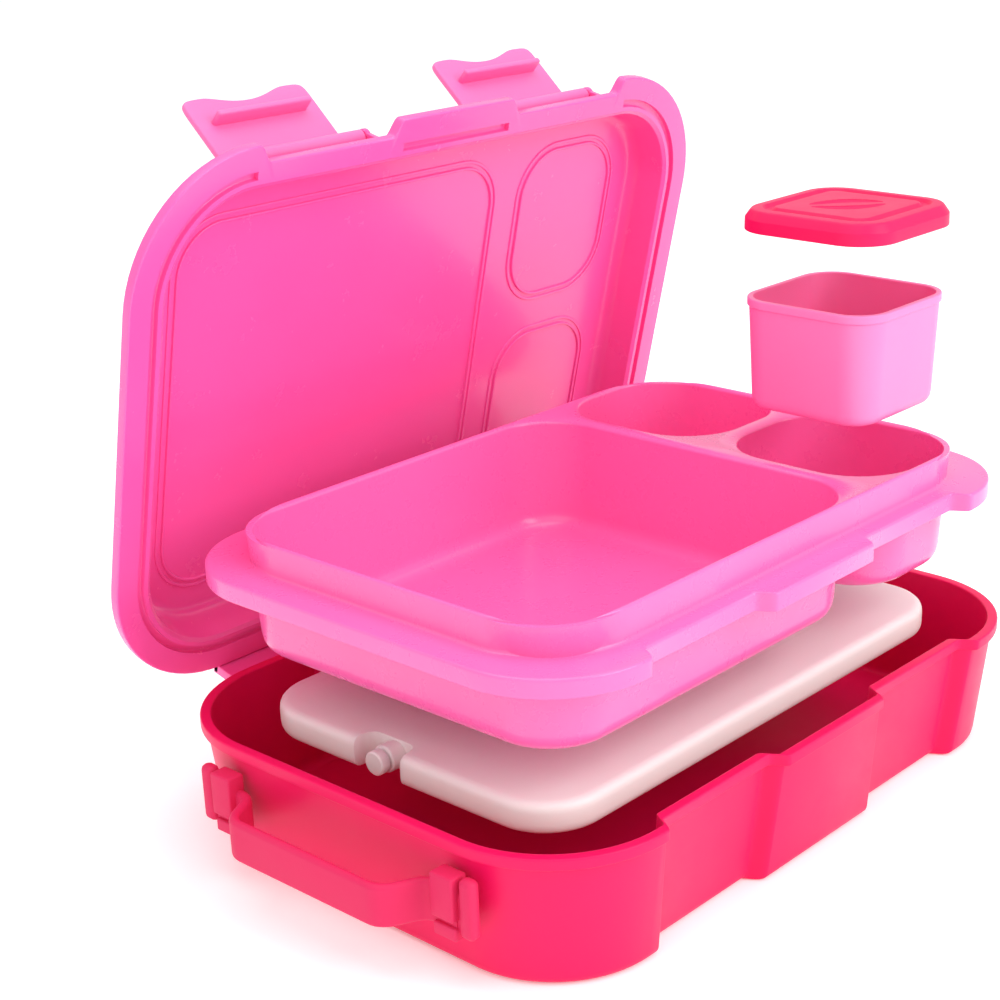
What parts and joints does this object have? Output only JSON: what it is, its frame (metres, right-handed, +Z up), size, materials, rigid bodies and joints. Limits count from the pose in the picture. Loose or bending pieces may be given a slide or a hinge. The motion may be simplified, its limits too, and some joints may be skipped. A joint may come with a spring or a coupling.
{
  "type": "bento lunch box",
  "caption": "Open bento lunch box with hinged lid and snap latches, strap handle, divided tray, cold pack and a lidded dip cup lifted out above the box.",
  "frame": {"origin": "middle of the flat underside of the box, where it stands on a table", "axes": "+Z up; X along the long side with the carry handle at -X; the latched front faces -Y and the hinge is at +Y"},
  "size_m": [0.3008, 0.225, 0.2504],
  "materials": {
    "base_plastic": "satin cherry-pink moulded polypropylene",
    "handle_rubber": "matte soft-touch elastomer in a muted cherry pink",
    "lid_plastic": "polished candy-pink plastic",
    "latch_plastic": "satin mid-pink plastic",
    "pack_plastic": "frosted translucent polyethylene",
    "pack_gel": "pale frozen gel, seen only through the pack's skin",
    "tray_plastic": "glossy pale-pink plastic",
    "cup_plastic": "satin light-pink plastic",
    "cup_lid_plastic": "glossy cherry-pink flexible plastic"
  },
  "bodies": {
    "base": {"base_shell": "base_plastic", "hinge_pin_left": "base_plastic", "hinge_pin_right": "base_plastic", "carry_handle": "handle_rubber", "handle_keeper_front": "handle_rubber", "handle_keeper_rear": "handle_rubber"},
    "lid": {"lid_shell": "lid_plastic", "latch_pin_left": "latch_plastic", "latch_pin_right": "latch_plastic"},
    "latch_left_flap": {"latch_left": "latch_plastic"},
    "latch_right_flap": {"latch_right": "latch_plastic"},
    "cold_pack": {"cold_pack_shell": "pack_plastic", "cold_pack_gel": "pack_gel", "cold_pack_plug": "pack_plastic"},
    "food_tray": {"tray": "tray_plastic"},
    "cup": {"dip_cup": "cup_plastic"},
    "cup_cover": {"dip_cup_lid": "cup_lid_plastic"}
  },
  "joints": [
    {"name": "lid_hinge", "type": "hinge", "parent": "base", "child": "lid", "pos_m": [0, 0.1045, 0.038], "axis": [-1, 0, 0], "range_deg": [0, 30]},
    {"name": "latch_left_pivot", "type": "hinge", "parent": "lid", "child": "latch_left_flap", "pos_m": [-0.06, 0.08545, 0.23336], "axis": [-1, 0, 0], "range_deg": [-151, 0]},
    {"name": "latch_right_pivot", "type": "hinge", "parent": "lid", "child": "latch_right_flap", "pos_m": [0.06, 0.08545, 0.23336], "axis": [-1, 0, 0], "range_deg": [-151, 0]},
    {"name": "pack_lift", "type": "slide", "parent": "base", "child": "cold_pack", "axis": [0, 0, 1], "range_m": [-0.038, 0]},
    {"name": "tray_lift", "type": "slide", "parent": "cold_pack", "child": "food_tray", "axis": [0, 0, 1], "range_m": [-0.0184, 0]},
    {"name": "cup_lift", "type": "slide", "parent": "food_tray", "child": "cup", "axis": [0, 0, 1], "range_m": [-0.0576, 0]},
    {"name": "cup_lid_lift", "type": "slide", "parent": "cup", "child": "cup_cover", "axis": [0, 0, 1], "range_m": [-0.029, 0]}
  ]
}
